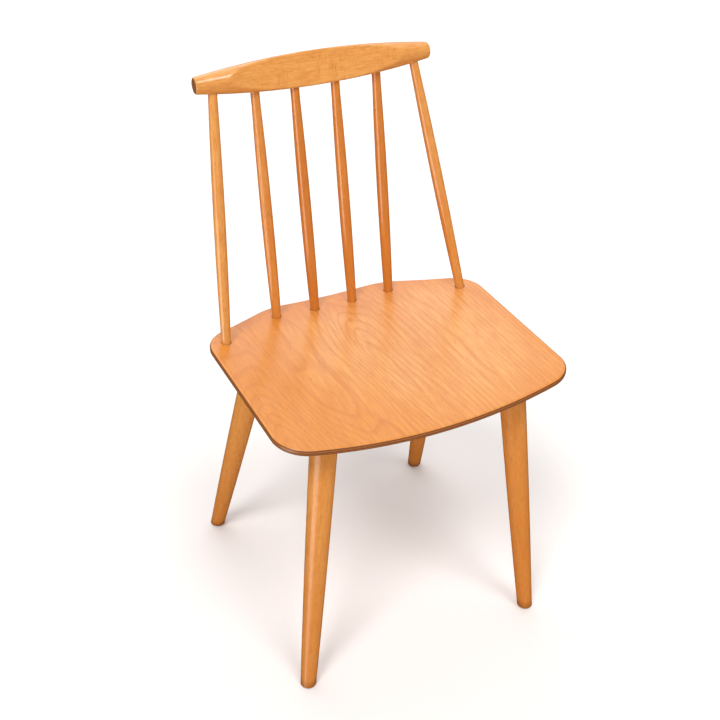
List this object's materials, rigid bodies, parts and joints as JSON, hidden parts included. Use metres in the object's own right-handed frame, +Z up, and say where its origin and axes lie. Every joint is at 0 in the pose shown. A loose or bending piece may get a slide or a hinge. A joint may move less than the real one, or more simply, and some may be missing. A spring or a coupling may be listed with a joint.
{
  "type": "dining chair",
  "caption": "Spindle-back dining chair: dished plywood seat, turned splayed legs, turned spindles under a barrel-shaped top rail with a scooped front.",
  "frame": {"origin": "on the floor, in the middle of the chair's bounding box", "axes": "+Z up, the sitter faces -Y, +X to the right of someone standing in front"},
  "size_m": [0.43, 0.4312, 0.7956],
  "materials": {
    "turned_beech": "clear satin lacquer on honey-coloured beech",
    "seat_plywood": "clear glossy lacquer on beech-faced plywood",
    "underframe_beech": "thin clear lacquer on planed beech",
    "screw_steel": "yellow zinc plated"
  },
  "bodies": {
    "root": {"top_rail": "turned_beech", "spindle_left_outer": "turned_beech", "spindle_left_middle": "turned_beech", "spindle_left_inner": "turned_beech", "spindle_right_inner": "turned_beech", "spindle_right_middle": "turned_beech", "spindle_right_outer": "turned_beech", "front_leg_left": "turned_beech", "front_leg_right": "turned_beech", "rear_leg_left": "turned_beech", "rear_leg_right": "turned_beech", "seat": "seat_plywood", "front_cleat": "underframe_beech", "rear_cleat": "underframe_beech", "spindle_batten": "underframe_beech", "front_cleat_screws": "screw_steel", "rear_cleat_screws": "screw_steel", "batten_screws": "screw_steel"}
  },
  "joints": []
}
